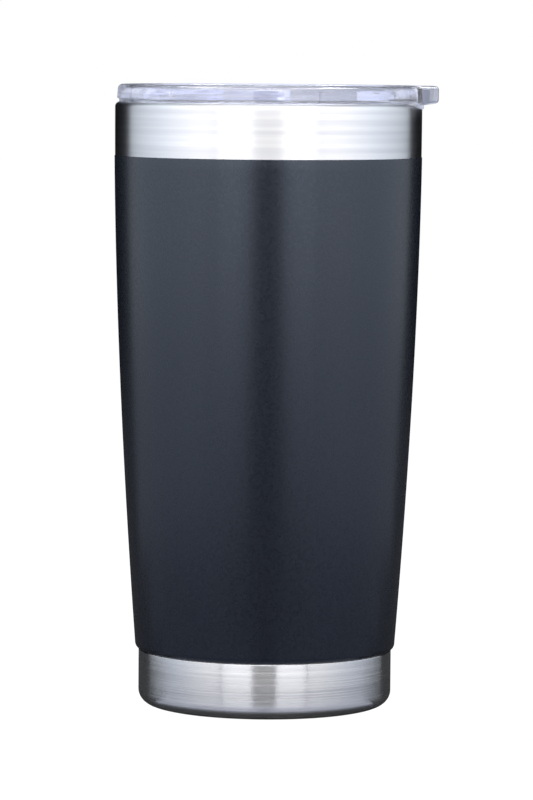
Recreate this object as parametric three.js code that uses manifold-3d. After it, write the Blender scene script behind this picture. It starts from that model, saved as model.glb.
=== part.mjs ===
// Insulated tumbler: a double-wall vacuum cup of stainless steel with a black powder coat, and a clear
// press-on lid whose drinking slot is opened and shut by a slider.
// Millimetres, +Z up. The origin is where the cup's axis meets the surface it stands on. The lid's thumb tab
// points along +X and its drinking slot is opposite, on the -X side.

import * as THREE from "three";
import { mergeVertices } from "three/addons/utils/BufferGeometryUtils.js";
import Module from "manifold-3d";

const wasm = await Module();
wasm.setup();

// ---- Driving dimensions --------------------------------------------------------------------------------

const FACETS = 40; // round the main axis
const SMALL_FACETS = 20; // on pieces under about 15 mm across
const JOIN = 0.05; // gap where two pieces are welded, bonded or pressed together
const RUNNING = 0.1; // gap where one piece slides on another

// The cup's outside
const RIM_Z = 173.1;
const TOP_RADIUS = 43.9;
const TAPER_START_Z = 166;
const TAPER_POWER = 1.69;
const TAPER_DROP = 6.76; // how much smaller the shell is at its lower end than at its top
const SHELL_LOW_Z = 16; // where the coated shell ends and the bare base begins
const SHELL_CURL = 1.65; // radius with which the shell turns in above the base
const STEEL = 0.5; // sheet thickness of every steel piece

// The powder coat
const COAT = 0.12;
const COAT_TOP_Z = 157.8;

// The base
const BASE_RADIUS = 36.4;
const BASE_CORNER = 4.2;
const SPIGOT_LOW_Z = 6; // lower end of the shell, inside the base cover
const GROOVE_RADIUS = 27.5; // middle of the stiffening groove pressed into the base's floor
const GROOVE_HALF_WIDTH = 1.5;
const GROOVE_DEPTH = 0.8;

// The cup's inside
const MOUTH_RADIUS = 41;
const MOUTH_LOW_Z = 161; // below this the liner narrows to its body
const LINER_BODY_TOP_Z = 150;
const WALL_SPACE = 5.2; // from the shell's outer face to the liner's inner face
const LINER_SEAM_Z = 24; // weld between the liner's wall and its bottom
const FLOOR_Z = 15; // the drink's lowest point
const FLOOR_CORNER = 7;

// The vacuum bottom, the seal of its pump-out hole and the getter
const CAP_Z = 9;
const DIMPLE_RADIUS = 6;
const DIMPLE_DEPTH = 1.2;
const PUMP_HOLE_RADIUS = 1.2;
const GETTER_X = 16;
const GETTER_RADIUS = 4;

// The lid
const LID_TOP_Z = 178.1;
const LID_LOW_Z = RIM_Z + JOIN; // the lid's flange rests here, on the rim
const FLANGE_RADIUS = 43.3;
const FLANGE_DRAFT = 0.2;
const FLANGE_EDGE = 1.4; // radius of the top outer edge
const FOOT_RADIUS = 42.75; // a narrower step under the flange
const FOOT_HEIGHT = 0.85;
const WELL_TOP_RADIUS = 37.6;
const WELL_LOW_RADIUS = 37.2;
const DECK_Z = 173.6;
const DECK_THICKNESS = 2;
const PLUG_RADIUS = 40.2;
const PLUG_INNER_RADIUS = 37;
const PLUG_LOW_Z = 163.6;
const SEAL_GROOVE = { radius: 38.4, low: 165.2, high: 169.2 };
const SEAL_LIP_RADIUS = MOUTH_RADIUS - RUNNING;
const VENT = { x: 31, radius: 1.2 };

// The thumb tab, the crescent it grows from, and the prying lip that hangs from the crescent round the rim
const TAB = {
  rootX: 44.2,
  reach: 48.3,
  halfWidth: 9,
  rootLow: 172.75,
  tipLow: 173.35,
  corner: 0.9,
  bevel: 0.7,
};
const CRESCENT = { x: 4, radius: 41 };
const LIP = { startX: 38.2, lowX: 42.4, radius: 44.4, low: 171.3 };
const CUP_CLEARANCE = 0.12;

// The slider, its rails and its seal
const TRAVEL = 15;
const SLOT = { x: -30.2, halfX: 3, halfY: 8.5 };
const SLIDER = { halfWidth: 12.1, bodyHalfWidth: 10.9, thickness: 1.45, innerX: -13, outerRadius: 36.7 };
const SLIDER_LOW_Z = DECK_Z + 0.25;
const SLIDER_BODY_TOP_Z = 176.4;
const GRIP = { x: -17.5, halfX: 3, halfY: 7.5, top: 177.8, ribs: 3 };
const RAIL = { web: 1.4, lip: 1.1, lipThickness: 0.8, startX: -33.6, endX: 6 };
const STOP = { x: SLIDER.innerX + TRAVEL + 0.9, halfX: 0.8, halfY: 6, height: 1.4 };
const SLIDER_SEAL = { width: 1.4, thickness: 0.8, around: 1.5 }; // around: how far it reaches past the slot

// ---- Materials -----------------------------------------------------------------------------------------

const brushedSteel = new THREE.MeshStandardMaterial({ color: 0xc9cbd0, roughness: 0.3, metalness: 1 });
const plainSteel = new THREE.MeshStandardMaterial({ color: 0xa9abad, roughness: 0.42, metalness: 1 });
const blackCoat = new THREE.MeshStandardMaterial({ color: 0x1c1e24, roughness: 0.5, metalness: 0.1 });
const clearPlastic = new THREE.MeshStandardMaterial({
  color: 0xe6e8fa,
  roughness: 0.06,
  metalness: 0,
  transparent: true,
  opacity: 0.35,
});
const silicone = new THREE.MeshStandardMaterial({ color: 0xe4e6ea, roughness: 0.55, metalness: 0 });
const solderGlass = new THREE.MeshStandardMaterial({ color: 0x33373a, roughness: 0.3, metalness: 0 });
const getterMetal = new THREE.MeshStandardMaterial({ color: 0x6b6a68, roughness: 0.8, metalness: 0.6 });

// ---- Shape helpers -------------------------------------------------------------------------------------

// Points [radius, height] on a circle about (r, z), between two angles in degrees. 0 is outwards, 90 up.
function arc(r, z, radius, from, to, steps) {
  return Array.from({ length: steps + 1 }, (_, i) => {
    const angle = THREE.MathUtils.degToRad(from + ((to - from) * i) / steps);
    return [r + radius * Math.cos(angle), z + radius * Math.sin(angle)];
  });
}

// Heights from low to high, evenly spaced, both included.
function heights(low, high, steps) {
  return Array.from({ length: steps + 1 }, (_, i) => low + ((high - low) * i) / steps);
}

// A solid of revolution about Z. The outline runs up its outer side and down its inner side.
function turned(outline, facets = FACETS) {
  const points = outline.map(([r, z]) => new THREE.Vector2(Math.abs(r) < 1e-9 ? 0 : r, z));
  if (points[0].x > 0) points.push(points[0].clone());
  return new THREE.LatheGeometry(points, facets).rotateX(Math.PI / 2);
}

// A flat shape raised from one height to another.
function raised(shape, low, high) {
  const depth = high - low;
  const column = new THREE.ExtrudeGeometry(shape, { depth, bevelEnabled: false, curveSegments: 8 });
  return column.translate(0, 0, low);
}

// A rectangle with round corners, centred on (x, y).
function roundedRectangle(x, y, halfX, halfY, corner) {
  const shape = new THREE.Shape();
  shape.absarc(x + halfX - corner, y + halfY - corner, corner, 0, Math.PI / 2);
  shape.absarc(x - halfX + corner, y + halfY - corner, corner, Math.PI / 2, Math.PI);
  shape.absarc(x - halfX + corner, y - halfY + corner, corner, Math.PI, Math.PI * 1.5);
  shape.absarc(x + halfX - corner, y - halfY + corner, corner, Math.PI * 1.5, Math.PI * 2);
  shape.closePath();
  return shape;
}

function box(lowX, highX, lowY, highY, lowZ, highZ) {
  return new THREE.BoxGeometry(highX - lowX, highY - lowY, highZ - lowZ).translate(
    (lowX + highX) / 2,
    (lowY + highY) / 2,
    (lowZ + highZ) / 2,
  );
}

function cylinder(radius, low, high, x = 0, facets = SMALL_FACETS) {
  return new THREE.CylinderGeometry(radius, radius, high - low, facets)
    .rotateX(Math.PI / 2)
    .translate(x, 0, (low + high) / 2);
}

// The geometry as a manifold-3d solid, for cutting and joining.
function solid(geometry) {
  const bare = new THREE.BufferGeometry().setAttribute("position", geometry.getAttribute("position"));
  bare.setIndex(geometry.index);
  const merged = mergeVertices(bare, 1e-4);
  return new wasm.Manifold(
    new wasm.Mesh({
      numProp: 3,
      vertProperties: merged.attributes.position.array,
      triVerts: new Uint32Array(merged.index.array),
    }),
  );
}

// A manifold-3d solid back as a three.js geometry.
function geometryOf(made) {
  const { vertProperties, triVerts } = made.getMesh();
  const geometry = new THREE.BufferGeometry();
  geometry.setAttribute("position", new THREE.BufferAttribute(new Float32Array(vertProperties), 3));
  geometry.setIndex(new THREE.BufferAttribute(new Uint32Array(triVerts), 1));
  geometry.computeVertexNormals();
  return geometry;
}

function named(name, geometry, material) {
  const mesh = new THREE.Mesh(geometry, material);
  mesh.name = name;
  return mesh;
}

// ---- The cup -------------------------------------------------------------------------------------------

// Outer radius of the steel shell: straight at the top, then a taper that steepens towards the base.
function shellRadius(z) {
  const down = Math.max(0, TAPER_START_Z - z) / (TAPER_START_Z - SHELL_LOW_Z);
  return TOP_RADIUS - TAPER_DROP * down ** TAPER_POWER;
}

// Inner radius of the liner: a straight mouth for the lid's plug, a soft shoulder, then the shell's taper.
function linerRadius(z) {
  const body = shellRadius(Math.min(z, LINER_BODY_TOP_Z)) - WALL_SPACE;
  const t = THREE.MathUtils.smoothstep(z, LINER_BODY_TOP_Z, MOUTH_LOW_Z);
  return body + (MOUTH_RADIUS - body) * t;
}

const RIM_RADIUS = (TOP_RADIUS - MOUTH_RADIUS) / 2; // the rim is a half round between shell and liner
const CREST_RADIUS = TOP_RADIUS - RIM_RADIUS;
const SHOULDER_Z = RIM_Z - RIM_RADIUS;
const CURL_Z = SHELL_LOW_Z + 0.15 + SHELL_CURL; // centre of the shell's lower curl
const CURL_R = shellRadius(CURL_Z) - SHELL_CURL;
const SPIGOT_RADIUS = BASE_RADIUS - STEEL - JOIN; // the shell's lower end, inside the base cover

// The outer wall, from its half of the rim to the spigot inside the base cover.
function outerShell() {
  const wall = heights(CURL_Z, SHOULDER_Z, 7);
  const outside = [
    [SPIGOT_RADIUS, SPIGOT_LOW_Z],
    [SPIGOT_RADIUS, CURL_Z - SHELL_CURL],
    ...arc(CURL_R, CURL_Z, SHELL_CURL, -78, 0, 3).slice(0, -1),
    ...wall.map((z) => [shellRadius(z), z]),
    ...arc(CREST_RADIUS, SHOULDER_Z, RIM_RADIUS, 0, 88, 3).slice(1),
  ];
  const inside = [
    ...arc(CREST_RADIUS, SHOULDER_Z, RIM_RADIUS - STEEL, 88, 0, 2).slice(0, -1),
    ...wall.toReversed().map((z) => [shellRadius(z) - STEEL, z]),
    [CURL_R, CURL_Z - SHELL_CURL + STEEL],
    [SPIGOT_RADIUS - STEEL, CURL_Z - SHELL_CURL + STEEL],
    [SPIGOT_RADIUS - STEEL, SPIGOT_LOW_Z],
  ];
  return turned([...outside, ...inside]);
}

// The coat over the shell, from the bare band under the rim down round the lower curl.
function powderCoat() {
  const wall = heights(CURL_Z, SHOULDER_Z, 7).filter((z) => z < COAT_TOP_Z);
  const side = [...wall, COAT_TOP_Z];
  const offset = (by) => [
    ...arc(CURL_R, CURL_Z, SHELL_CURL + by, -66, 0, 3).slice(0, -1),
    ...side.map((z) => [shellRadius(z) + by, z]),
  ];
  return turned([...offset(JOIN + COAT), ...offset(JOIN).toReversed()]);
}

// The inner wall, from its half of the rim down to the weld with the liner's bottom.
function linerWall() {
  const wall = [LINER_SEAM_Z + JOIN, 70, 112, LINER_BODY_TOP_Z, 153.5, 157.5, MOUTH_LOW_Z, SHOULDER_Z];
  const crest = CREST_RADIUS;
  const outside = [
    ...wall.map((z) => [linerRadius(z) + STEEL, z]),
    ...arc(crest, SHOULDER_Z, RIM_RADIUS - STEEL, 180, 94, 2).slice(1),
  ];
  const inside = [
    ...arc(crest, SHOULDER_Z, RIM_RADIUS, 94, 180, 3).slice(0, -1),
    ...wall.toReversed().map((z) => [linerRadius(z), z]),
  ];
  return turned([...outside, ...inside]);
}

// The dish welded to the liner's lower end, which is the floor of the cup.
function linerBottom() {
  const radius = linerRadius(LINER_SEAM_Z);
  const low = radius - FLOOR_CORNER;
  return turned([
    [0, FLOOR_Z - STEEL],
    ...arc(low, FLOOR_Z + FLOOR_CORNER, FLOOR_CORNER + STEEL, -90, 0, 4),
    [radius + STEEL, LINER_SEAM_Z],
    [radius, LINER_SEAM_Z],
    ...arc(low, FLOOR_Z + FLOOR_CORNER, FLOOR_CORNER, 0, -90, 4),
    [0, FLOOR_Z],
  ]);
}

// The plate that closes the vacuum space: a flange welded in the spigot, and a dimple round the pump hole.
function vacuumBottom() {
  const radius = SPIGOT_RADIUS - STEEL - JOIN;
  const dimpleZ = CAP_Z + DIMPLE_DEPTH;
  return turned([
    [PUMP_HOLE_RADIUS, dimpleZ],
    [DIMPLE_RADIUS - 1, dimpleZ],
    [DIMPLE_RADIUS, CAP_Z],
    [radius - 1.6, CAP_Z],
    [radius - STEEL, CAP_Z - 1.1],
    [radius - STEEL, SPIGOT_LOW_Z],
    [radius, SPIGOT_LOW_Z],
    [radius, CAP_Z - 0.9],
    [radius - 1.4, CAP_Z + STEEL],
    [DIMPLE_RADIUS + 0.3, CAP_Z + STEEL],
    [DIMPLE_RADIUS - 0.7, dimpleZ + STEEL],
    [PUMP_HOLE_RADIUS, dimpleZ + STEEL],
  ]);
}

// The bead of solder glass that fills the dimple from below and plugs the pump-out hole.
function vacuumSeal() {
  const topZ = CAP_Z + DIMPLE_DEPTH - JOIN;
  const stem = PUMP_HOLE_RADIUS - JOIN;
  return turned(
    [
      [0, CAP_Z - 0.4],
      [2.6, CAP_Z - 0.2],
      [4.2, topZ - 0.5],
      [4.2, topZ],
      [stem, topZ],
      [stem, topZ + STEEL + 0.4],
      [0, topZ + STEEL + 0.6],
    ],
    SMALL_FACETS,
  );
}

// The small pan spot-welded to the vacuum bottom, which holds the getter.
function getterHolder() {
  const low = CAP_Z + STEEL + JOIN;
  const inner = GETTER_RADIUS + JOIN;
  return turned(
    [
      [0, low],
      [inner + 0.4, low],
      [inner + 0.4, low + 2],
      [inner, low + 2],
      [inner, low + 0.4],
      [0, low + 0.4],
    ],
    SMALL_FACETS,
  ).translate(GETTER_X, 0, 0);
}

// The pill of getter metal that keeps the vacuum.
function getterPill() {
  const low = CAP_Z + STEEL + JOIN + 0.4 + JOIN;
  return turned(
    [
      [0, low],
      [GETTER_RADIUS, low],
      [GETTER_RADIUS, low + 2],
      [GETTER_RADIUS - 0.5, low + 2.4],
      [0, low + 2.4],
    ],
    SMALL_FACETS,
  ).translate(GETTER_X, 0, 0);
}

// The bare steel cup pressed onto the spigot. Its floor is what the tumbler stands on.
function baseCover() {
  const inner = BASE_RADIUS - STEEL;
  const corner = BASE_RADIUS - BASE_CORNER;
  const top = CURL_Z - SHELL_CURL - 2 * JOIN;
  const groove = (by) => [
    [GROOVE_RADIUS - GROOVE_HALF_WIDTH - by, 0],
    [GROOVE_RADIUS - GROOVE_HALF_WIDTH / 3, GROOVE_DEPTH],
    [GROOVE_RADIUS + GROOVE_HALF_WIDTH / 3, GROOVE_DEPTH],
    [GROOVE_RADIUS + GROOVE_HALF_WIDTH + by, 0],
  ];
  return turned([
    [0, 0],
    ...groove(0),
    ...arc(corner, BASE_CORNER, BASE_CORNER, -90, 0, 4),
    [BASE_RADIUS, top],
    [inner, top],
    ...arc(corner, BASE_CORNER, BASE_CORNER - STEEL, 0, -90, 3),
    ...groove(0.3).toReversed().map(([r, z]) => [r, z + STEEL]),
    [0, STEEL],
  ]);
}

// ---- The lid -------------------------------------------------------------------------------------------

// The round part of the lid: plug with its seal groove, flange, and the well with the deck as its floor.
function lidRound() {
  const footTop = LID_LOW_Z + FOOT_HEIGHT;
  const deckLow = DECK_Z - DECK_THICKNESS;
  const edge = FLANGE_RADIUS - FLANGE_DRAFT - FLANGE_EDGE;
  return turned([
    [0, deckLow],
    [PLUG_INNER_RADIUS - 0.6, deckLow],
    [PLUG_INNER_RADIUS, deckLow - 0.6],
    [PLUG_INNER_RADIUS, PLUG_LOW_Z],
    [PLUG_RADIUS - 0.7, PLUG_LOW_Z],
    [PLUG_RADIUS, PLUG_LOW_Z + 0.7],
    [PLUG_RADIUS, SEAL_GROOVE.low],
    [SEAL_GROOVE.radius, SEAL_GROOVE.low],
    [SEAL_GROOVE.radius, SEAL_GROOVE.high],
    [PLUG_RADIUS, SEAL_GROOVE.high],
    [PLUG_RADIUS, LID_LOW_Z],
    [FOOT_RADIUS, LID_LOW_Z],
    [FOOT_RADIUS, footTop],
    [FLANGE_RADIUS, footTop],
    ...arc(edge, LID_TOP_Z - FLANGE_EDGE, FLANGE_EDGE, 0, 90, 3),
    ...arc(WELL_TOP_RADIUS + 0.8, LID_TOP_Z - 0.8, 0.8, 90, 180, 2),
    [WELL_LOW_RADIUS, DECK_Z + 0.6],
    [WELL_LOW_RADIUS - 0.6, DECK_Z],
    [0, DECK_Z],
  ]);
}

// The crescent that widens the flange round the tab: the part of a disc, set off centre, outside the lid.
function crescent() {
  const disc = solid(cylinder(CRESCENT.radius, LID_LOW_Z + 0.3, LID_TOP_Z - 0.5, CRESCENT.x, FACETS));
  return disc.subtract(solid(cylinder(FOOT_RADIUS - 0.5, 0, LID_TOP_Z + 1, 0, FACETS)));
}

// The space that the cup's rim takes up under the lid, with a clearance.
function rimSpace() {
  const radius = RIM_RADIUS + CUP_CLEARANCE;
  return solid(
    turned([
      [0, 0],
      [CREST_RADIUS + radius, 0],
      ...arc(CREST_RADIUS, SHOULDER_Z, radius, 0, 75, 4),
      [CREST_RADIUS, RIM_Z + JOIN],
      [0, RIM_Z + JOIN],
    ]),
  );
}

// A profile in X and Z that runs from -Y to +Y, with its two ends bevelled.
function acrossY(profile, halfWidth, bevel = 0) {
  return new THREE.ExtrudeGeometry(profile, {
    depth: 2 * (halfWidth - bevel),
    bevelEnabled: bevel > 0,
    bevelThickness: bevel,
    bevelSize: bevel,
    bevelOffset: -bevel,
    bevelSegments: 2,
    curveSegments: 4,
  })
    .rotateX(Math.PI / 2)
    .translate(0, halfWidth - bevel, 0);
}

// The lip that a thumb catches. It hugs the rim's outside under the crescent and is deepest beside the tab.
function pryingLip() {
  const wedge = new THREE.Shape();
  wedge.moveTo(LIP.startX, LID_LOW_Z + 0.35);
  wedge.lineTo(LIP.lowX, LIP.low);
  wedge.lineTo(LIP.radius + 1, LIP.low);
  wedge.lineTo(LIP.radius + 1, LID_LOW_Z + 1);
  wedge.lineTo(LIP.startX, LID_LOW_Z + 1);
  return solid(acrossY(wedge, CRESCENT.radius))
    .intersect(solid(cylinder(LIP.radius, 0, LID_TOP_Z, 0, FACETS)))
    .subtract(solid(cylinder(CREST_RADIUS, 0, LID_TOP_Z, 0, FACETS)));
}

// The thumb tab. Its underside rises towards the tip.
function tab() {
  const { reach, corner, rootX, rootLow, tipLow } = TAB;
  const innerX = MOUTH_RADIUS;
  const slope = (tipLow - rootLow) / (reach - rootX);
  const profile = new THREE.Shape();
  profile.moveTo(innerX, rootLow - slope * (rootX - innerX));
  profile.lineTo(reach - corner, tipLow);
  profile.absarc(reach - corner, tipLow + corner, corner, -Math.PI / 2, 0);
  profile.absarc(reach - corner, LID_TOP_Z - corner, corner, 0, Math.PI / 2);
  profile.lineTo(innerX, LID_TOP_Z);
  return solid(acrossY(profile, TAB.halfWidth, TAB.bevel));
}

// One rail, on the +Y or -Y side: a web that stands on the deck, with a lip over the slider's edge.
function rail(side) {
  const inner = SLIDER.halfWidth + RUNNING;
  const outer = inner + RAIL.web;
  const lipLow = SLIDER_LOW_Z + SLIDER.thickness + RUNNING;
  const span = (a, b) => (side > 0 ? [a, b] : [-b, -a]);
  const web = box(RAIL.startX, RAIL.endX, ...span(inner, outer), DECK_Z - 0.5, lipLow + RAIL.lipThickness);
  const lip = box(
    RAIL.startX,
    RAIL.endX,
    ...span(inner - RAIL.lip, inner + 0.2),
    lipLow,
    lipLow + RAIL.lipThickness,
  );
  return solid(web).add(solid(lip));
}

// The ridge that stops the slider when the slot is open.
function stop() {
  const { x, halfX, halfY, height } = STOP;
  return box(x - halfX, x + halfX, -halfY, halfY, DECK_Z - 0.5, DECK_Z + height);
}

function lidBody() {
  const slot = slotRing(0, DECK_Z - 4, DECK_Z + 2);
  const vent = cylinder(VENT.radius, DECK_Z - 4, DECK_Z + 2, VENT.x, 12);
  const edge = crescent().add(tab()).add(pryingLip()).subtract(rimSpace());
  return geometryOf(
    solid(lidRound())
      .add(edge)
      .add(rail(1))
      .add(rail(-1))
      .add(solid(stop()))
      .subtract(solid(slot))
      .subtract(solid(vent)),
  );
}

// The silicone ring in the plug's groove, with two lips that wipe the cup's mouth.
function lidGasket() {
  const { radius, low, high } = SEAL_GROOVE;
  const core = PLUG_RADIUS - 0.3;
  const lip = (z) => [
    [core, z - 0.7],
    [SEAL_LIP_RADIUS, z - 0.15],
    [SEAL_LIP_RADIUS, z + 0.15],
    [core, z + 0.7],
  ];
  return turned([
    [radius + JOIN, low + JOIN],
    [core, low + JOIN],
    ...lip(low + 1.1),
    ...lip(high - 1.1),
    [core, high - JOIN],
    [radius + JOIN, high - JOIN],
  ]);
}

// ---- The slider ----------------------------------------------------------------------------------------

// A column with the drinking slot's outline, widened all round.
function slotRing(by, low, high) {
  const corner = SLOT.halfX + by - 0.01;
  return raised(roundedRectangle(SLOT.x, 0, SLOT.halfX + by, SLOT.halfY + by, corner), low, high);
}

// The plate that covers the slot: a thin sole that runs under the rails, a body above it and a ribbed grip.
function sliderPlate() {
  const far = -SLIDER.outerRadius - 1;
  const soleTop = SLIDER_LOW_Z + SLIDER.thickness;
  const sole = box(far, SLIDER.innerX, -SLIDER.halfWidth, SLIDER.halfWidth, SLIDER_LOW_Z, soleTop);
  const bodySide = SLIDER.bodyHalfWidth;
  const body = box(far, SLIDER.innerX, -bodySide, bodySide, soleTop - 0.2, SLIDER_BODY_TOP_Z);
  const round = cylinder(SLIDER.outerRadius, SLIDER_LOW_Z - 1, LID_TOP_Z, 0, FACETS);
  const finger = raised(
    roundedRectangle((SLOT.x + GRIP.x) / 2 - 2, 0, 5.6, 6.6, 3),
    SLIDER_BODY_TOP_Z - 0.8,
    SLIDER_BODY_TOP_Z + 1,
  );
  let plate = solid(sole).add(solid(body)).intersect(solid(round)).subtract(solid(finger));
  const pitch = (2 * GRIP.halfX) / (GRIP.ribs - 1);
  for (let i = 0; i < GRIP.ribs; i++) {
    const x = GRIP.x - GRIP.halfX + i * pitch;
    const rib = box(x - 0.8, x + 0.8, -GRIP.halfY, GRIP.halfY, SLIDER_BODY_TOP_Z - 0.2, GRIP.top);
    plate = plate.add(solid(rib));
  }
  const { around, width, thickness } = SLIDER_SEAL;
  const groove = slotRing(around + JOIN, SLIDER_LOW_Z - 1, DECK_Z + thickness + 2 * JOIN);
  const island = slotRing(around - width - JOIN, SLIDER_LOW_Z - 2, SLIDER_LOW_Z + 2);
  return geometryOf(plate.subtract(solid(groove).subtract(solid(island))));
}

// The silicone ring in the slider's sole, which closes on the deck round the slot.
function sliderSeal() {
  const { around, width, thickness } = SLIDER_SEAL;
  const low = DECK_Z + JOIN;
  const ring = slotRing(around, low, low + thickness);
  const hole = slotRing(around - width, low - 1, low + thickness + 1);
  return geometryOf(solid(ring).subtract(solid(hole)));
}

// ---- The assembly --------------------------------------------------------------------------------------

const cup = new THREE.Group();
cup.add(
  named("outer_shell", outerShell(), brushedSteel),
  named("powder_coat", powderCoat(), blackCoat),
  named("liner_wall", linerWall(), brushedSteel),
  named("liner_bottom", linerBottom(), brushedSteel),
  named("vacuum_bottom", vacuumBottom(), plainSteel),
  named("vacuum_seal", vacuumSeal(), solderGlass),
  named("getter_holder", getterHolder(), plainSteel),
  named("getter_pill", getterPill(), getterMetal),
  named("base_cover", baseCover(), brushedSteel),
);

const slider = new THREE.Group();
slider.add(named("slider_plate", sliderPlate(), clearPlastic), named("slider_seal", sliderSeal(), silicone));

const lid = new THREE.Group();
lid.add(named("lid_body", lidBody(), clearPlastic), named("lid_gasket", lidGasket(), silicone), slider);

const tumbler = new THREE.Group();
tumbler.add(cup, lid);

export default tumbler;
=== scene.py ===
"""Looks of an insulated tumbler with a clear lid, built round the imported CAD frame.

Every shape is in millimetres, in the frame's own axes: the cup's axis is Z, it stands on z = 0, and the lid's
thumb tab points along +X. MM turns it into Blender's metres. The stage is in metres.
"""

import math

import bpy
from mathutils import Matrix, Vector

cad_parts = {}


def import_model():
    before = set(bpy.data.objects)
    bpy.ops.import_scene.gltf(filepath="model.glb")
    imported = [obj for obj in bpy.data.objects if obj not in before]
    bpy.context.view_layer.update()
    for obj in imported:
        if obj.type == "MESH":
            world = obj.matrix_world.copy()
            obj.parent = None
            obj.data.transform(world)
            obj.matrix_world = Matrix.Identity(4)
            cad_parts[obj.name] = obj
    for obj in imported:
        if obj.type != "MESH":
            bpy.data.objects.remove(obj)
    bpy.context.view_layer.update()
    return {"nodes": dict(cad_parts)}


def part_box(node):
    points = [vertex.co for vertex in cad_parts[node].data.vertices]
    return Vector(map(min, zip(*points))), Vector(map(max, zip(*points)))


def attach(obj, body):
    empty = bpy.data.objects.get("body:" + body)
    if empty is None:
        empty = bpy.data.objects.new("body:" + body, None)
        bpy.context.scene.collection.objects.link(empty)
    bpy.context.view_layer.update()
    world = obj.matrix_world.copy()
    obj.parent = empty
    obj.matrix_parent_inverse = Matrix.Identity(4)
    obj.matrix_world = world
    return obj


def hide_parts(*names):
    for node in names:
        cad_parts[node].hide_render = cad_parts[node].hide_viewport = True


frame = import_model()

MM = 0.001
AROUND = 256  # facets round the main axis
SHARP = math.radians(32)  # an edge that bends more than this is drawn sharp


def node_top(node):
    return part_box(node)[1].z / MM


def node_low(node):
    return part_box(node)[0].z / MM


def node_radius(node):
    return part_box(node)[1].y / MM


# ---- Dimensions, from the frame where it has them --------------------------------------------------------

RIM_Z = node_top("outer_shell")
TOP_RADIUS = node_radius("outer_shell")
COAT_TOP_Z = node_top("powder_coat")
BASE_RADIUS = node_radius("base_cover")
LID_TOP_Z = node_top("lid_body")
LID_LOW_Z = RIM_Z + 0.05
PLUG_LOW_Z = node_low("lid_body")
TAB_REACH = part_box("lid_body")[1].x / MM
LINER_SEAM_Z = node_top("liner_bottom")
LINER_FLOOR_Z = node_low("liner_bottom") + 0.5
SPIGOT_LOW_Z = node_low("outer_shell")

STEEL = 0.5
COAT = 0.14
TAPER_START_Z = 166
TAPER_POWER = 1.69
TAPER_DROP = 6.76
SHELL_LOW_Z = 16
SHELL_CURL = 1.65
BASE_CORNER = 4.2
MOUTH_RADIUS = 41
MOUTH_LOW_Z = 161
LINER_BODY_TOP_Z = 150
WALL_SPACE = 5.2
FLOOR_CORNER = 7
RIM_RADIUS = (TOP_RADIUS - MOUTH_RADIUS) / 2
CREST_RADIUS = TOP_RADIUS - RIM_RADIUS
SHOULDER_Z = RIM_Z - RIM_RADIUS
SPIGOT_RADIUS = BASE_RADIUS - STEEL - 0.05

FLANGE_RADIUS = 43.3
FLANGE_DRAFT = 0.15
FLANGE_EDGE = 1.5
LID_CORNER = 0.25
FOOT_RADIUS = 42.75
FOOT_TOP_Z = LID_LOW_Z + 0.85
WELL_TOP_RADIUS = 37.6
WELL_LOW_RADIUS = 37.5
DECK_Z = 173.6
DECK_THICKNESS = 2
PLUG_RADIUS = 40.2
PLUG_INNER_RADIUS = 37
GROOVE_RADIUS = 38.4
GROOVE_LOW_Z = 165.2
GROOVE_TOP_Z = 169.2

CRESCENT_CENTRE = 4  # how far along +X the centre of the crescent's edge lies
CRESCENT_RADIUS = 41
CRESCENT_DROP = 0.45  # how much lower the flange reaches there
SWELL_START = 54  # angles in degrees from the tab
SWELL_FULL = 34
TAB_HALF_WIDTH = 9
TAB_EDGE = 0.95  # rounding of the tab's edges
TAB_ROOT_X = 44.2
TAB_ROOT_LOW_Z = 172.75
TAB_TIP_LOW_Z = 173.35
LIP_START = 30  # angles in degrees from the tab
LIP_FULL = 13
LIP_TURN = 79  # how far down round the rim the full lip reaches, in degrees
LIP_THICKNESS = 0.3
LIP_ROUNDING = 0.12
CUP_CLEARANCE = 0.12

SLOT_X = -30.2
SLOT_HALF = (3, 8.5)
VENT_X = 31
VENT_RADIUS = 1.2
SLIDER_LOW_Z = DECK_Z + 0.25
SOLE_THICKNESS = 1.45
SLIDER_BODY_TOP_Z = 176.4
SLIDER_INNER_X = -13
SLIDER_HALF_WIDTH = 12.1
SLIDER_BODY_HALF_WIDTH = 10.9
SLIDER_OUTER_RADIUS = 36.7
GRIP_X = -17.5
GRIP_TOP_Z = 177.8
RIB_PITCH = 3
RIB_HALF = (0.8, 7.5)
DIP_HALF = (5.6, 6.6)
DIP_DEPTH = 0.8
RAIL_START_X = -33.6
RAIL_END_X = 6
RAIL_LIP = 1.1
RAIL_LIP_THICKNESS = 0.8
RAIL_WEB = 1.4
STOP_X = 2.9
STOP_HALF = (0.8, 6)
STOP_HEIGHT = 1.4
SUNK = 0.4  # how far what stands on the deck reaches into it
SEAL_AROUND = 1.5
SEAL_WIDTH = 1.4
SEAL_THICKNESS = 0.8
SEAL_CLEARANCE = 0.05


# ---- Nodes and materials ---------------------------------------------------------------------------------


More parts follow.
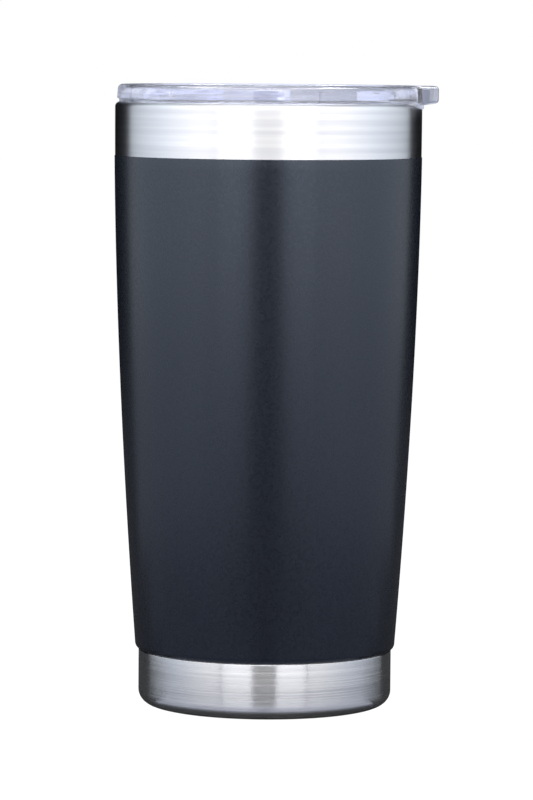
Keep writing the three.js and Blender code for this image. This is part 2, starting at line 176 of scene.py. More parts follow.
class Shading:
    """A material with one Principled BSDF, and short calls that add nodes to it."""

    def __init__(self, name, colour, **sockets):
        self.material = bpy.data.materials.new(name)
        self.material.use_nodes = True
        self.nodes = self.material.node_tree.nodes
        self.links = self.material.node_tree.links
        self.shader = self.nodes["Principled BSDF"]
        self.shader.inputs["Base Color"].default_value = (*colour, 1)
        for socket, value in sockets.items():
            self.shader.inputs[socket.replace("_", " ")].default_value = value
        self.place = self.nodes.new("ShaderNodeTexCoord").outputs["Object"]

    def noise(self, scale, stretch=(1, 1, 1), detail=2.0):
        """Noise with about `scale` features in a metre, more of them along the axes with a larger stretch."""
        mapping = self.nodes.new("ShaderNodeMapping")
        mapping.inputs["Scale"].default_value = stretch
        texture = self.nodes.new("ShaderNodeTexNoise")
        texture.inputs["Scale"].default_value = scale
        texture.inputs["Detail"].default_value = detail
        self.links.new(self.place, mapping.inputs["Vector"])
        self.links.new(mapping.outputs["Vector"], texture.inputs["Vector"])
        return texture.outputs["Fac"]

    def spread(self, factor, low, high, start=0.3, end=0.7):
        """A number that follows the factor, from low to high."""
        ranged = self.nodes.new("ShaderNodeMapRange")
        for socket, value in zip(("From Min", "From Max", "To Min", "To Max"), (start, end, low, high)):
            ranged.inputs[socket].default_value = value
        self.links.new(factor, ranged.inputs["Value"])
        return ranged.outputs["Result"]

    def colour(self, factor, low, high):
        """A base colour that follows the factor, from low to high."""
        ramp = self.nodes.new("ShaderNodeValToRGB")
        ramp.color_ramp.elements[0].position = 0.3
        ramp.color_ramp.elements[0].color = (*low, 1)
        ramp.color_ramp.elements[1].position = 0.7
        ramp.color_ramp.elements[1].color = (*high, 1)
        self.links.new(factor, ramp.inputs["Fac"])
        self.links.new(ramp.outputs["Color"], self.shader.inputs["Base Color"])

    def roughness(self, factor, low, high):
        self.links.new(self.spread(factor, low, high), self.shader.inputs["Roughness"])

    def bump(self, *layers):
        """Bumps one over the other: (height, depth in mm, strength)."""
        below = None
        for height, depth, strength in layers:
            node = self.nodes.new("ShaderNodeBump")
            node.inputs["Distance"].default_value = depth * MM
            node.inputs["Strength"].default_value = strength
            self.links.new(height, node.inputs["Height"])
            if below:
                self.links.new(below, node.inputs["Normal"])
            below = node.outputs["Normal"]
        self.links.new(below, self.shader.inputs["Normal"])

    def brushed_round_axis(self):
        """Turns the anisotropy so that highlights spread along Z, across a grain that runs round the axis."""
        tangent = self.nodes.new("ShaderNodeTangent")
        tangent.direction_type = "RADIAL"
        tangent.axis = "Z"
        self.links.new(tangent.outputs["Tangent"], self.shader.inputs["Tangent"])
        self.shader.inputs["Anisotropic"].default_value = 0.95
        self.shader.inputs["Anisotropic Rotation"].default_value = 0.25


def brushed_steel(name, smoothest, roughest):
    steel = Shading(name, (0.66, 0.66, 0.68), Metallic=1.0)
    fine = steel.noise(1, (18, 18, 5200), detail=3)
    broad = steel.noise(1, (9, 9, 900))
    steel.colour(broad, (0.60, 0.60, 0.625), (0.70, 0.70, 0.715))
    steel.roughness(fine, smoothest, roughest)
    steel.bump((fine, 0.003, 0.4), (broad, 0.003, 0.2))
    steel.brushed_round_axis()
    return steel.material


def plain_steel():
    steel = Shading("plain_steel", (0.52, 0.53, 0.54), Metallic=1.0)
    cloud = steel.noise(260)
    steel.roughness(cloud, 0.32, 0.46)
    steel.bump((steel.noise(3800), 0.004, 0.3))
    return steel.material


def powder_coat():
    coat = Shading("powder_coat", (0.005, 0.0062, 0.010))
    coat.shader.inputs["Specular Tint"].default_value = (0.72, 0.83, 1.0, 1)
    grit = coat.noise(2600, detail=3)
    orange_peel = coat.noise(900)
    coat.colour(grit, (0.0035, 0.0044, 0.0072), (0.0065, 0.0078, 0.0128))
    coat.roughness(orange_peel, 0.25, 0.31)
    coat.bump((orange_peel, 0.02, 0.3), (grit, 0.008, 0.35))
    return coat.material


def clear_plastic():
    clear = Shading("clear_plastic", (0.92, 0.93, 1.0), Roughness=0.01, IOR=1.48)
    clear.shader.inputs["Transmission Weight"].default_value = 0.985
    clear.bump((clear.noise(55), 0.03, 0.12))
    return clear.material


def silicone():
    rubber = Shading("silicone", (0.82, 0.83, 0.86), IOR=1.41)
    rubber.shader.inputs["Transmission Weight"].default_value = 0.45
    rubber.roughness(rubber.noise(700), 0.38, 0.5)
    rubber.bump((rubber.noise(2200), 0.005, 0.25))
    return rubber.material


def solder_glass():
    bead = Shading("solder_glass", (0.03, 0.034, 0.037), IOR=1.6)
    bead.roughness(bead.noise(900), 0.08, 0.25)
    return bead.material


def getter_metal():
    metal = Shading("getter_metal", (0.13, 0.125, 0.12), Metallic=0.8)
    metal.roughness(metal.noise(3000), 0.6, 0.85)
    metal.bump((metal.noise(5000), 0.02, 0.5))
    return metal.material


# ---- Shapes ----------------------------------------------------------------------------------------------


def arc(r, z, radius, start, end, steps=8):
    """Points (radius, height) on a circle about (r, z), from one angle to another, in degrees."""
    angles = [math.radians(start + (end - start) * i / steps) for i in range(steps + 1)]
    return [(r + radius * math.cos(a), z + radius * math.sin(a)) for a in angles]


def rounded(corners, steps=6):
    """The outline through corners (radius, height, rounding), each rounded with an arc of that radius."""
    outline = []
    count = len(corners)
    for i, (r, z, rounding) in enumerate(corners):
        here = Vector((r, z))
        if rounding == 0:
            outline.append((r, z))
            continue
        back = (Vector(corners[i - 1][:2]) - here).normalized()
        ahead = (Vector(corners[(i + 1) % count][:2]) - here).normalized()
        half = back.angle(ahead) / 2
        centre = here + (back + ahead).normalized() * (rounding / math.sin(half))
        first = here + back * (rounding / math.tan(half)) - centre
        last = here + ahead * (rounding / math.tan(half)) - centre
        turn = first.angle_signed(last)
        for k in range(steps + 1):
            outline.append(tuple(centre + first @ Matrix.Rotation(turn * k / steps, 2)))
    return outline


def heights(low, high, steps):
    return [low + (high - low) * i / steps for i in range(steps + 1)]


def new_object(name, vertices, faces):
    mesh = bpy.data.meshes.new(name)
    mesh.from_pydata([tuple(c * MM for c in v) for v in vertices], [], faces)
    mesh.validate()
    piece = bpy.data.objects.new(name, mesh)
    bpy.context.scene.collection.objects.link(piece)
    return piece


def lofted(name, section, facets=AROUND):
    """A solid round the Z axis. section(angle) is its outline there: up the outer side and down the inner."""
    turns = [2 * math.pi * k / facets for k in range(facets)]
    outlines = [section(angle) for angle in turns]
    vertices = []
    rings = []
    for points in zip(*outlines):
        on_axis = points[0][0] < 1e-6
        first = len(vertices)
        rings.append([first] * facets if on_axis else list(range(first, first + facets)))
        around = [(r * math.cos(a), r * math.sin(a), z) for (r, z), a in zip(points, turns)]
        vertices += around[:1] if on_axis else around
    return new_object(name, vertices, loft_faces(rings))


def turned(name, outline):
    return lofted(name, lambda angle: outline)


def loft_faces(rings):
    """Faces between each ring of vertex numbers and the next, with a triangle where two corners are one."""
    faces = []
    for below, above in zip(rings, rings[1:] + rings[:1]):
        for k in range(len(below)):
            n = (k + 1) % len(below)
            corners = list(dict.fromkeys((below[k], below[n], above[n], above[k])))
            if len(corners) > 2:
                faces.append(corners)
    return faces


def prism(name, plan, low, high, bevel=0.0):
    """A flat outline raised from low to high, with its edges rounded by bevel."""
    count = len(plan)
    vertices = [(x, y, z) for z in (low, high) for x, y in plan]
    sides = [(k, (k + 1) % count, count + (k + 1) % count, count + k) for k in range(count)]
    piece = new_object(name, vertices, [tuple(range(count))[::-1], tuple(range(count, 2 * count)), *sides])
    if bevel:
        round_edges(piece, bevel)
    return piece


def rounded_rectangle(x, y, half_x, half_y, corner, steps=10):
    plan = []
    for quarter, (side_x, side_y) in enumerate(((1, 1), (-1, 1), (-1, -1), (1, -1))):
        middle = (x + side_x * (half_x - corner), y + side_y * (half_y - corner))
        plan += arc(*middle, corner, 90 * quarter, 90 * quarter + 90, steps)
    return plan


def block(name, low, high, bevel=0.0):
    plan = [(low[0], low[1]), (high[0], low[1]), (high[0], high[1]), (low[0], high[1])]
    return prism(name, plan, low[2], high[2], bevel)


def round_edges(piece, width, segments=3):
    bevel = piece.modifiers.new("round", "BEVEL")
    bevel.width = width * MM
    bevel.segments = segments
    bevel.limit_method = "ANGLE"
    bevel.angle_limit = SHARP
    apply_modifiers(piece)


def apply_modifiers(piece):
    bpy.context.view_layer.update()
    evaluated = piece.evaluated_get(bpy.context.evaluated_depsgraph_get())
    mesh = bpy.data.meshes.new_from_object(evaluated)
    piece.modifiers.clear()
    piece.data = mesh


def combine(piece, other, operation):
    """Joins the other solid to the piece, cuts it out of it, or keeps what both share."""
    boolean = piece.modifiers.new("combine", "BOOLEAN")
    boolean.object = other
    boolean.operation = operation
    boolean.solver = "EXACT"
    apply_modifiers(piece)
    bpy.data.objects.remove(other)


def dress(piece, material, slot, body, *nodes):
    """Gives a finished piece its material, smooth faces between sharp edges and its body, and hides the CAD
    nodes it stands in for.
    """
    piece.data.materials.clear()
    piece.data.materials.append(material)
    piece.data.polygons.foreach_set("use_smooth", [True] * len(piece.data.polygons))
    piece.data.set_sharp_from_angle(angle=SHARP)
    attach(piece, body)
    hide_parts(*nodes)


# ---- The cup ---------------------------------------------------------------------------------------------


def shell_radius(z):
    down = max(0.0, TAPER_START_Z - z) / (TAPER_START_Z - SHELL_LOW_Z)
    return TOP_RADIUS - TAPER_DROP * down**TAPER_POWER


def liner_radius(z):
    body = shell_radius(min(z, LINER_BODY_TOP_Z)) - WALL_SPACE
    t = min(1.0, max(0.0, (z - LINER_BODY_TOP_Z) / (MOUTH_LOW_Z - LINER_BODY_TOP_Z)))
    return body + (MOUTH_RADIUS - body) * t * t * (3 - 2 * t)


CURL_Z = SHELL_LOW_Z + 0.15 + SHELL_CURL
CURL_R = shell_radius(CURL_Z) - SHELL_CURL


def outer_shell():
    wall = heights(CURL_Z, SHOULDER_Z, 48)
    inner_turn = CURL_Z - SHELL_CURL + STEEL
    return turned(
        "shell_fine",
        [
            (SPIGOT_RADIUS, SPIGOT_LOW_Z),
            (SPIGOT_RADIUS, CURL_Z - SHELL_CURL),
            *arc(CURL_R, CURL_Z, SHELL_CURL, -78, 0)[:-1],
            *[(shell_radius(z), z) for z in wall],
            *arc(CREST_RADIUS, SHOULDER_Z, RIM_RADIUS, 0, 88, 12)[1:],
            *arc(CREST_RADIUS, SHOULDER_Z, RIM_RADIUS - STEEL, 88, 0, 6)[:-1],
            *[(shell_radius(z) - STEEL, z) for z in reversed(wall)],
            (CURL_R, inner_turn),
            (SPIGOT_RADIUS - STEEL, inner_turn),
            (SPIGOT_RADIUS - STEEL, SPIGOT_LOW_Z),
        ],
    )


def coat():
    """The coat, 0.02 mm clear of the steel, with rounded edges where it ends."""
    gap = 0.02
    wall = heights(CURL_Z, COAT_TOP_Z - COAT, 44)
    return turned(
        "coat_fine",
        [
            *arc(CURL_R, CURL_Z, SHELL_CURL + gap + COAT, -66, 0)[:-1],
            *[(shell_radius(z) + gap + COAT, z) for z in wall],
            *arc(shell_radius(COAT_TOP_Z) + gap, COAT_TOP_Z - COAT, COAT, 0, 90, 4)[1:],
            *[(shell_radius(z) + gap, z) for z in reversed(wall)],
            *arc(CURL_R, CURL_Z, SHELL_CURL + gap, 0, -66)[1:],
        ],
    )


def liner_wall():
    wall = heights(LINER_SEAM_Z + 0.05, LINER_BODY_TOP_Z, 20)
    wall += heights(LINER_BODY_TOP_Z, MOUTH_LOW_Z, 14)[1:] + [SHOULDER_Z]
    return turned(
        "liner_fine",
        [
            *[(liner_radius(z) + STEEL, z) for z in wall],
            *arc(CREST_RADIUS, SHOULDER_Z, RIM_RADIUS - STEEL, 180, 92, 6)[1:],
            *arc(CREST_RADIUS, SHOULDER_Z, RIM_RADIUS, 92, 180, 12)[:-1],
            *[(liner_radius(z), z) for z in reversed(wall)],
        ],
    )


def liner_bottom():
    radius = liner_radius(LINER_SEAM_Z)
    low = radius - FLOOR_CORNER
    corner_z = LINER_FLOOR_Z + FLOOR_CORNER
    return turned(
        "liner_bottom_fine",
        [
            (0, LINER_FLOOR_Z - STEEL),
            *arc(low, corner_z, FLOOR_CORNER + STEEL, -90, 0, 12),
            (radius + STEEL, LINER_SEAM_Z),
            (radius, LINER_SEAM_Z),
            *arc(low, corner_z, FLOOR_CORNER, 0, -90, 12),
            (0, LINER_FLOOR_Z),
        ],
    )


def base_cover():
    """The bare base: a rolled upper edge, a round corner and a floor with a pressed groove."""
    groove = 27.5
    top = node_top("base_cover")
    under = [
        (groove - 1.5, 0, 1.2),
        (groove - 0.5, 0.8, 0.8),
        (groove + 0.5, 0.8, 0.8),
        (groove + 1.5, 0, 1.2),
    ]
    over = [(r, z + STEEL, rounding) for r, z, rounding in reversed(under)]
    return turned(
        "base_fine",
        rounded(
            [
                (0, 0, 0),
                *under,
                (BASE_RADIUS, 0, BASE_CORNER),
                (BASE_RADIUS, top, 0.2),
                (BASE_RADIUS - STEEL, top, 0.15),
                (BASE_RADIUS - STEEL, STEEL, BASE_CORNER - STEEL),
                *over,
                (0, STEEL, 0),
            ],
            10,
        ),
    )


# ---- The lid ---------------------------------------------------------------------------------------------


def smooth(value, start, end):
    """0 at start, 1 at end, with a soft curve between."""
    t = min(1.0, max(0.0, (value - start) / (end - start)))
    return t * t * (3 - 2 * t)


def crescent_radius(angle):
    """Distance from the axis to the crescent's edge, a circle set off centre towards the tab."""
    across = CRESCENT_CENTRE * math.sin(angle)
    return CRESCENT_CENTRE * math.cos(angle) + math.sqrt(CRESCENT_RADIUS**2 - across**2)


def edge_radius(angle):
    """Distance from the axis to the flange's edge: a circle that swells softly into the crescent."""
    away = abs(math.degrees(angle))
    swell = smooth(away, SWELL_START, SWELL_FULL)
    return FLANGE_RADIUS + (crescent_radius(angle) - FLANGE_RADIUS) * swell


def lid_outside(angle):
    """The lid's outer skin at one angle: the foot on the rim, the prying lip, the flange's side and edge."""
    away = abs(math.degrees(math.remainder(angle, 2 * math.pi)))
    edge = edge_radius(angle)
    low = FOOT_TOP_Z - CRESCENT_DROP * smooth(away, 50, 30)
    hang = smooth(away, LIP_START, LIP_FULL)
    share = smooth(hang, 0, 0.15)
    foot_corner = LID_CORNER - (LID_CORNER - 0.02) * share
    top_z = LID_TOP_Z - FLANGE_EDGE
    return [
        (PLUG_RADIUS, LID_LOW_Z),
        *arc(FOOT_RADIUS - foot_corner, LID_LOW_Z + foot_corner, foot_corner, -90, 0, 4),
        *lip_skin(hang, share, low),
        *arc(edge - LID_CORNER, low + LID_CORNER, LID_CORNER, -90, 0, 4),
        *[(edge - FLANGE_DRAFT * t, low + (top_z - low) * t) for t in (0.33, 0.67)],
        *arc(edge - FLANGE_DRAFT - FLANGE_EDGE, top_z, FLANGE_EDGE, 0, 90, 10),
    ]


def lip_skin(hang, share, low):
    """The skin from the foot to the flange: flat, and by the tab a thin lip that hugs the cup's rim.

    hang says how far round the rim the lip reaches, and share how far the skin has left the flat.
    """
    hug = RIM_RADIUS + CUP_CLEARANCE
    hugging = arc(CREST_RADIUS, SHOULDER_Z, hug, LIP_TURN, LIP_TURN * (1 - hang))
    tip_r, tip_z = hugging[-1]
    hugging += [
        (tip_r + LIP_THICKNESS / 2, tip_z - LIP_ROUNDING),
        (tip_r + LIP_THICKNESS, tip_z),
        (tip_r + LIP_THICKNESS + 0.05, low),
    ]
    flat = [(FOOT_RADIUS + LID_CORNER * i / len(hugging), low) for i in range(len(hugging))]
    return [tuple(Vector(a).lerp(Vector(b), share)) for a, b in zip(flat, hugging)]


def lid_inside():
    """The rest of the lid's skin, the same at every angle: the well, the deck and the grooved plug."""
    deck_low = DECK_Z - DECK_THICKNESS
    return [
        *rounded([
            (FLANGE_RADIUS, LID_TOP_Z, 0),
            (WELL_TOP_RADIUS, LID_TOP_Z, 0.9),
            (WELL_LOW_RADIUS, DECK_Z, 0.9),
            (0, DECK_Z, 0),
        ], 8)[1:],
        *rounded([
            (0, deck_low, 0),
            (PLUG_INNER_RADIUS, deck_low, 1.2),
            (PLUG_INNER_RADIUS, PLUG_LOW_Z, 0.4),
            (PLUG_RADIUS, PLUG_LOW_Z, 0.7),
            (PLUG_RADIUS, GROOVE_LOW_Z, 0.12),
            (GROOVE_RADIUS, GROOVE_LOW_Z, 0),
            (GROOVE_RADIUS, GROOVE_TOP_Z, 0),
            (PLUG_RADIUS, GROOVE_TOP_Z, 0.12),
            (PLUG_RADIUS, LID_LOW_Z, 0),
        ], 5)[:-1],
    ]


def rim_space():
    """The space that the cup's rim takes up under the lid, with a clearance."""
    hug = RIM_RADIUS + CUP_CLEARANCE
    low = RIM_Z - 13
    top = RIM_Z + 1.9
    shoulder = arc(CREST_RADIUS, SHOULDER_Z, hug, 0, 90)
    return turned("rim_space", [(0, low), (CREST_RADIUS + hug, low), *shoulder, (0, top)])


def tab():
    """The thumb tab. Its underside rises towards the tip."""
    slope = (TAB_TIP_LOW_Z - TAB_ROOT_LOW_Z) / (TAB_REACH - TAB_ROOT_X)
    top = LID_TOP_Z - 0.01
    piece = block("tab", (MOUTH_RADIUS, -TAB_HALF_WIDTH, TAB_ROOT_LOW_Z), (TAB_REACH, TAB_HALF_WIDTH, top))
    for vertex in piece.data.vertices:
        if vertex.co.z < (TAB_ROOT_LOW_Z + 1) * MM:
            vertex.co.z += slope * (vertex.co.x - TAB_ROOT_X * MM)
    round_edges(piece, TAB_EDGE, 5)
    combine(piece, rim_space(), "DIFFERENCE")
    return piece


def rail(side):
    """One of the two rails that hold the slider down: a web, and a lip over the slider's sole."""
    play = 0.1
    inner = SLIDER_HALF_WIDTH + play
    lip_low = SLIDER_LOW_Z + SOLE_THICKNESS + play
    web = sorted((side * inner, side * (inner + RAIL_WEB)))
    lip = sorted((side * (inner - RAIL_LIP), side * (inner + RAIL_WEB)))
    web_top = lip_low + RAIL_LIP_THICKNESS / 2
    piece = block("rail", (RAIL_START_X, web[0], DECK_Z - SUNK), (RAIL_END_X, web[1], web_top))
    lip_top = lip_low + RAIL_LIP_THICKNESS
    top = block("rail_lip", (RAIL_START_X, lip[0], lip_low), (RAIL_END_X, lip[1], lip_top))
    combine(piece, top, "UNION")
    round_edges(piece, 0.15)
    return piece


def stop():
    """The low block that the slider meets when the slot is open."""
    half_x, half_y = STOP_HALF
    low = (STOP_X - half_x, -half_y, DECK_Z - SUNK)
    high = (STOP_X + half_x, half_y, DECK_Z + STOP_HEIGHT)
    return block("stop", low, high, 0.25)


def lid_body():
    inside = lid_inside()
    lid = lofted("lid_fine", lambda angle: lid_outside(angle) + inside)
    combine(lid, tab(), "UNION")
    for side in (1, -1):
        combine(lid, rail(side), "UNION")
    combine(lid, stop(), "UNION")
    through_deck = (DECK_Z - 4, DECK_Z + 3)
    slot = rounded_rectangle(SLOT_X, 0, *SLOT_HALF, SLOT_HALF[0] - 0.01)
    combine(lid, prism("slot", slot, *through_deck), "DIFFERENCE")
    vent = arc(VENT_X, 0, VENT_RADIUS, 0, 350, 35)
    combine(lid, prism("vent", vent, *through_deck), "DIFFERENCE")
    return lid


def lid_gasket():
    """The silicone ring, with its two wiping lips."""
    core = PLUG_RADIUS - 0.3
    lip = MOUTH_RADIUS - 0.1
    corners = [(GROOVE_RADIUS + 0.05, GROOVE_LOW_Z + 0.05, 0.1), (core, GROOVE_LOW_Z + 0.05, 0.2)]
    for z in (GROOVE_LOW_Z + 1.1, GROOVE_TOP_Z - 1.1):
        corners += [(core, z - 0.7, 0.15), (lip, z - 0.15, 0.12)]
        corners += [(lip, z + 0.15, 0.12), (core, z + 0.7, 0.15)]
    corners += [(core, GROOVE_TOP_Z - 0.05, 0.2), (GROOVE_RADIUS + 0.05, GROOVE_TOP_Z - 0.05, 0.1)]
    return turned("gasket_fine", rounded(corners, 4))


def slot_outline(by):
    corner = SLOT_HALF[0] + by - 0.01
    return rounded_rectangle(SLOT_X, 0, SLOT_HALF[0] + by, SLOT_HALF[1] + by, corner)


def slider_plan(half_width, inset=0.0):
    """The slider from above: straight sides, and an outer end that follows the well's wall."""
    radius = SLIDER_OUTER_RADIUS - inset
    turn = math.degrees(math.asin(half_width / radius))
    outer_end = arc(0, 0, radius, 180 - turn, 180 + turn, 24)
    return [(SLIDER_INNER_X, -half_width), (SLIDER_INNER_X, half_width), *outer_end]


def slider_plate():
    """The clear slider: a sole that runs under the rails, a body with a finger dip, and a ribbed grip."""
    sole_top = SLIDER_LOW_Z + SOLE_THICKNESS
    plate = prism("slider_fine", slider_plan(SLIDER_HALF_WIDTH)[::-1], SLIDER_LOW_Z, sole_top)
    body = prism("slider_body", slider_plan(SLIDER_BODY_HALF_WIDTH)[::-1], sole_top - 0.3, SLIDER_BODY_TOP_Z)
    combine(plate, body, "UNION")
    dip_plan = rounded_rectangle((SLOT_X + GRIP_X) / 2 - 2, 0, *DIP_HALF, 3)
    dip = prism("dip", dip_plan, SLIDER_BODY_TOP_Z - DIP_DEPTH, SLIDER_BODY_TOP_Z + 2)
    combine(plate, dip, "DIFFERENCE")
    half_x, half_y = RIB_HALF
    for step in (-1, 0, 1):
        x = GRIP_X + RIB_PITCH * step
        low = (x - half_x, -half_y, SLIDER_BODY_TOP_Z - 0.3)
        rib = block("rib", low, (x + half_x, half_y, GRIP_TOP_Z), 0.35)
        combine(plate, rib, "UNION")
    groove_outline = slot_outline(SEAL_AROUND + SEAL_CLEARANCE)
    groove = prism("groove", groove_outline, SLIDER_LOW_Z - 1, DECK_Z + 2 * SEAL_CLEARANCE + SEAL_THICKNESS)
    island_outline = slot_outline(SEAL_AROUND - SEAL_WIDTH - SEAL_CLEARANCE)
    island = prism("island", island_outline, SLIDER_LOW_Z - 2, SLIDER_LOW_Z + 3)
    combine(groove, island, "DIFFERENCE")
    combine(plate, groove, "DIFFERENCE")
    round_edges(plate, 0.12, 2)
    return plate


def slider_seal():
    low = DECK_Z + SEAL_CLEARANCE
    ring = prism("slider_seal_fine", slot_outline(SEAL_AROUND), low, low + SEAL_THICKNESS)
    hole = prism("hole", slot_outline(SEAL_AROUND - SEAL_WIDTH), low - 1, low + SEAL_THICKNESS + 1)
    combine(ring, hole, "DIFFERENCE")
    round_edges(ring, 0.12, 2)
    return ring


# ---- The object ------------------------------------------------------------------------------------------

def build_object():
    steel = brushed_steel("brushed_steel", 0.32, 0.42)
    base_steel = brushed_steel("brushed_steel_base", 0.2, 0.28)
    black = powder_coat()
    clear = clear_plastic()
    rubber = silicone()
    dress(outer_shell(), steel, "brushed_steel", "tumbler", "outer_shell")
    dress(coat(), black, "black_coat", "tumbler", "powder_coat")
    dress(liner_wall(), steel, "brushed_steel", "tumbler", "liner_wall")
    dress(liner_bottom(), steel, "brushed_steel", "tumbler", "liner_bottom")
    dress(base_cover(), base_steel, "brushed_steel", "tumbler", "base_cover")
    dress(lid_body(), clear, "clear_plastic", "lid", "lid_body")
    dress(lid_gasket(), rubber, "silicone", "lid", "lid_gasket")
    dress(slider_plate(), clear, "clear_plastic", "slider", "slider_plate")
    dress(slider_seal(), rubber, "silicone", "slider", "slider_seal")
    carried_over = {
        "vacuum_bottom": plain_steel(),
        "getter_holder": plain_steel(),
        "vacuum_seal": solder_glass(),
        "getter_pill": getter_metal(),
    }
    for node, material in carried_over.items():
        frame["nodes"][node].data.materials.clear()
        frame["nodes"][node].data.materials.append(material)


# ---- The stage -------------------------------------------------------------------------------------------

WHITE = (1, 1, 1)
COOL = (0.86, 0.93, 1.0)
DUSK = (0.80, 0.85, 1.0)
BLUE = (0.74, 0.80, 1.0)
WALL_DISTANCE = 1.1
WALL_TOP = 1.6
CAMERA_WALL_DISTANCE = 1.5
TABLE_GLOW_Z = 0.0005
CAMERA_DISTANCE = 1.2609
CAMERA_HEIGHT = 0.1888
CAMERA_PITCH = 0.08
CAMERA_ROLL = 0.0075


def light_wall(name, stops, low, high, only=None):
    """A curved softbox round the object, seen only in reflections and through the clear lid.

    Each stop is (compass angle, brightness, colour), and the glow runs evenly from stop to stop. The angle is
    in degrees from the camera's side, positive towards the tab. The low and high edges are (distance from the
    axis, height). With a collection as only, the softbox lights nothing but that collection's pieces.
    """
    vertices = []
    glow = []
    for (start, dim, tint), (end, bright, next_tint) in zip(stops, stops[1:]):
        steps = max(2, round(abs(end - start) / 3))
        for i in range(steps + 1):
            t = i / steps
            angle = math.radians(start + (end - start) * t)
            for distance, height in (low, high):
                place = (distance * math.sin(angle), -distance * math.cos(angle), height)
                vertices.append([metres / MM for metres in place])
            glow += [[a * (1 - t) * dim + b * t * bright for a, b in zip(tint, next_tint)]] * 2
    faces = [(2 * i, 2 * i + 2, 2 * i + 3, 2 * i + 1) for i in range(len(vertices) // 2 - 1)]
    wall = new_object(name, vertices, faces)
    layer = wall.data.color_attributes.new("glow", "FLOAT_COLOR", "POINT")
    for item, colour in zip(layer.data, glow):
        item.color = (*colour, 1)
    wall.data.materials.append(glowing(name))
    wall.visible_camera = False
    if only:
        wall.light_linking.receiver_collection = only


def glowing(name):
    """A material that glows with the colour stored on the mesh."""
    material = bpy.data.materials.new(name)
    material.use_nodes = True
    nodes = material.node_tree.nodes
    nodes.remove(nodes["Principled BSDF"])
    stored = nodes.new("ShaderNodeAttribute")
    stored.attribute_name = "glow"
    light = nodes.new("ShaderNodeEmission")
    material.node_tree.links.new(stored.outputs["Color"], light.inputs["Color"])
    material.node_tree.links.new(light.outputs["Emission"], nodes["Material Output"].inputs["Surface"])
    return material


def floor():
    """A white floor for the camera, which the object sees only as a dark one."""
    size = 6 / MM
    corners = [(-size, -size, -0.2), (size, -size, -0.2), (size, size, -0.2), (-size, size, -0.2)]
    plane = new_object("floor", corners, [(0, 1, 2, 3)])
    white = Shading("floor_white", (0.02, 0.02, 0.02), Roughness=0.9)
    path = white.nodes.new("ShaderNodeLightPath")
    white.shader.inputs["Emission Color"].default_value = (1, 1, 1, 1)
    white.links.new(path.outputs["Is Camera Ray"], white.shader.inputs["Emission Strength"])
    plane.data.materials.append(white.material)
    plane.visible_transmission = False


def world():
    """White where the camera sees past the object, pale through the clear lid, a dark room in reflections."""
    scene_world = bpy.data.worlds.new("studio")
    bpy.context.scene.world = scene_world
    scene_world.use_nodes = True
    nodes = scene_world.node_tree.nodes
    links = scene_world.node_tree.links
    path = nodes.new("ShaderNodeLightPath")
    room = nodes["Background"]
    room.inputs["Color"].default_value = (0.65, 0.78, 1.0, 1)
    room.inputs["Strength"].default_value = 0.055
    seen = room.outputs["Background"]
    for rays, colour in (("Is Transmission Ray", (0.8, 0.84, 0.98)), ("Is Camera Ray", (1, 1, 1))):
        backdrop = nodes.new("ShaderNodeBackground")
        backdrop.inputs["Color"].default_value = (*colour, 1)
        mix = nodes.new("ShaderNodeMixShader")
        links.new(path.outputs[rays], mix.inputs["Fac"])
        links.new(seen, mix.inputs[1])
        links.new(backdrop.outputs["Background"], mix.inputs[2])
        seen = mix.outputs["Shader"]
    links.new(seen, nodes["World Output"].inputs["Surface"])


def even(start, end, brightness, colour):
    """Stops for a softbox with the same glow all along."""
    return [(start, brightness, colour), (end, brightness, colour)]


def side_walls():
    """Tall softboxes on both sides, with gaps between them that the bare steel shows as dark stripes."""
    far_left = [(-126, 0.9, COOL), (-119, 1.15, COOL), (-89, 1.8, COOL), (-57, 2.4, WHITE), (-40, 2.6, WHITE)]
    far_right = [(39, 2.6, WHITE), (57, 2.3, WHITE), (90, 1.75, COOL), (119, 1.15, COOL), (130, 0.9, COOL)]
    walls = {
        "near_left": [(-38.5, 3.1, WHITE), (-11, 3.2, WHITE)],
        "near_right": [(10.5, 3.2, WHITE), (37.5, 3.1, WHITE)],
        "far_left": far_left,
        "far_right": far_right,
    }
    for name, stops in walls.items():
        light_wall(name, stops, (WALL_DISTANCE, 0.0), (WALL_DISTANCE, WALL_TOP))


def table_glow():
    """Patches of lit table in front of the object and beside it, which the lower steel reflects.

    A patch is its stops (compass angle, brightness) on the tab's side, then its near and far edge. Each patch
    has a twin on the other side.
    """
    patches = {
        "floor": ([(14, 0.7), (60, 1.0), (126, 0.4)], 0.28, 1.1),
        "floor_near": ([(30, 0.3), (106, 0.3)], 0.12, 0.28),
        "floor_ring": ([(7, 0.3), (85, 0.3)], 0.05, 0.12),
        "floor_edge": ([(0, 0.5), (8, 0.6), (66, 0.5)], 0.0376, 0.05),
    }
    for name, (stops, near, far) in patches.items():
        for side, sign in (("left", -1), ("right", 1)):
            mirrored = sorted((sign * angle, brightness, DUSK) for angle, brightness in stops)
            light_wall(f"{name}_{side}", mirrored, (near, TABLE_GLOW_Z), (far, TABLE_GLOW_Z))


def behind_camera():
    """A dim box and a bright one over it, which fill the centre of the bare steel."""
    middle = (CAMERA_WALL_DISTANCE, 0.6)
    light_wall("behind_camera", even(-11, 10.5, 0.3, WHITE), (CAMERA_WALL_DISTANCE, -0.2), middle)
    light_wall("behind_camera_high", even(-11, 10.5, 6.2, WHITE), middle, (CAMERA_WALL_DISTANCE, WALL_TOP))


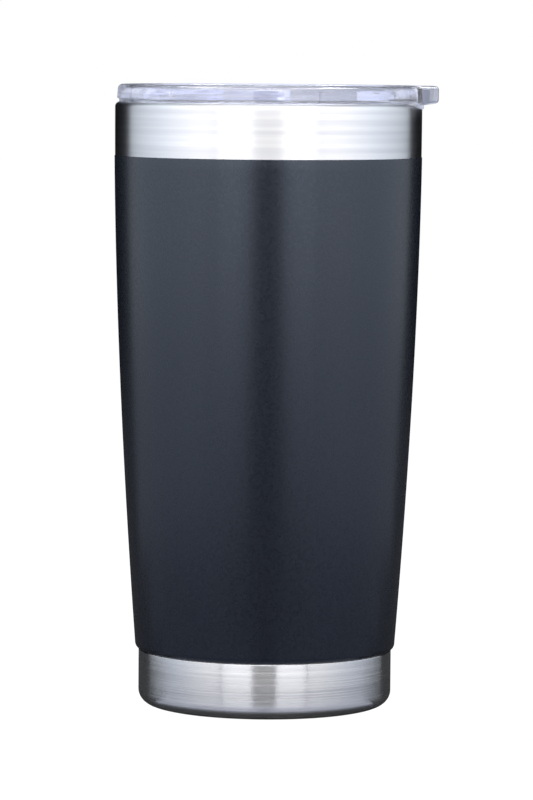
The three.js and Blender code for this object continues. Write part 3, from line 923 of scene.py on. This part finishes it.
def behind_object():
    """A grey backdrop, seen through the lid, and a fill over it."""
    backdrop = [(170.5, 0.36, BLUE), (189.5, 0.3, BLUE)]
    middle = (WALL_DISTANCE, 0.7)
    light_wall("backdrop", backdrop, (WALL_DISTANCE, -0.3), middle)
    light_wall("rear_fill", even(150, 210, 0.3, COOL), middle, (WALL_DISTANCE, 1.4))


def lid_cards():
    """Lights for the clear pieces alone: a card behind them on each side, and a bar above for their edges."""
    clear_pieces = bpy.data.collections.new("clear_pieces")
    for name in ("lid_fine", "slider_fine"):
        clear_pieces.objects.link(bpy.data.objects[name])
    light_wall("lid_bar", even(-125, 125, 15, WHITE), (1.2, 1.75), (0.9, 2.6), clear_pieces)
    cards = {
        "lid_left": [(-168, 0.8, BLUE), (-130, 0.65, BLUE)],
        "lid_right": [(130, 0.9, BLUE), (168, 1.1, BLUE)],
    }
    for name, stops in cards.items():
        light_wall(name, stops, (WALL_DISTANCE, 0.0), (WALL_DISTANCE, 0.5), clear_pieces)


def overhead_light():
    """A softbox flat above the object."""
    data = bpy.data.lights.new("overhead", "AREA")
    data.size = 1.2
    data.energy = 7
    lamp = bpy.data.objects.new("overhead", data)
    lamp.location = (0, -0.1, 1.3)
    lamp.visible_camera = False
    bpy.context.scene.collection.objects.link(lamp)


def camera():
    data = bpy.data.cameras.new("camera")
    data.sensor_width = 36
    data.lens = 198
    shot = bpy.data.objects.new("camera", data)
    aim = Matrix.Rotation(math.pi / 2 - CAMERA_PITCH, 4, "X") @ Matrix.Rotation(CAMERA_ROLL, 4, "Z")
    shot.matrix_world = Matrix.Translation((0, -CAMERA_DISTANCE, CAMERA_HEIGHT)) @ aim
    bpy.context.scene.collection.objects.link(shot)
    bpy.context.scene.camera = shot


def stage():
    world()
    floor()
    side_walls()
    table_glow()
    behind_camera()
    behind_object()
    lid_cards()
    overhead_light()
    camera()
    scene = bpy.context.scene
    scene.view_settings.view_transform = "Standard"
    scene.cycles.max_bounces = 24  # the lid has many clear surfaces, one behind the other
    scene.cycles.transmission_bounces = 24
    scene.cycles.glossy_bounces = 12


build_object()
stage()
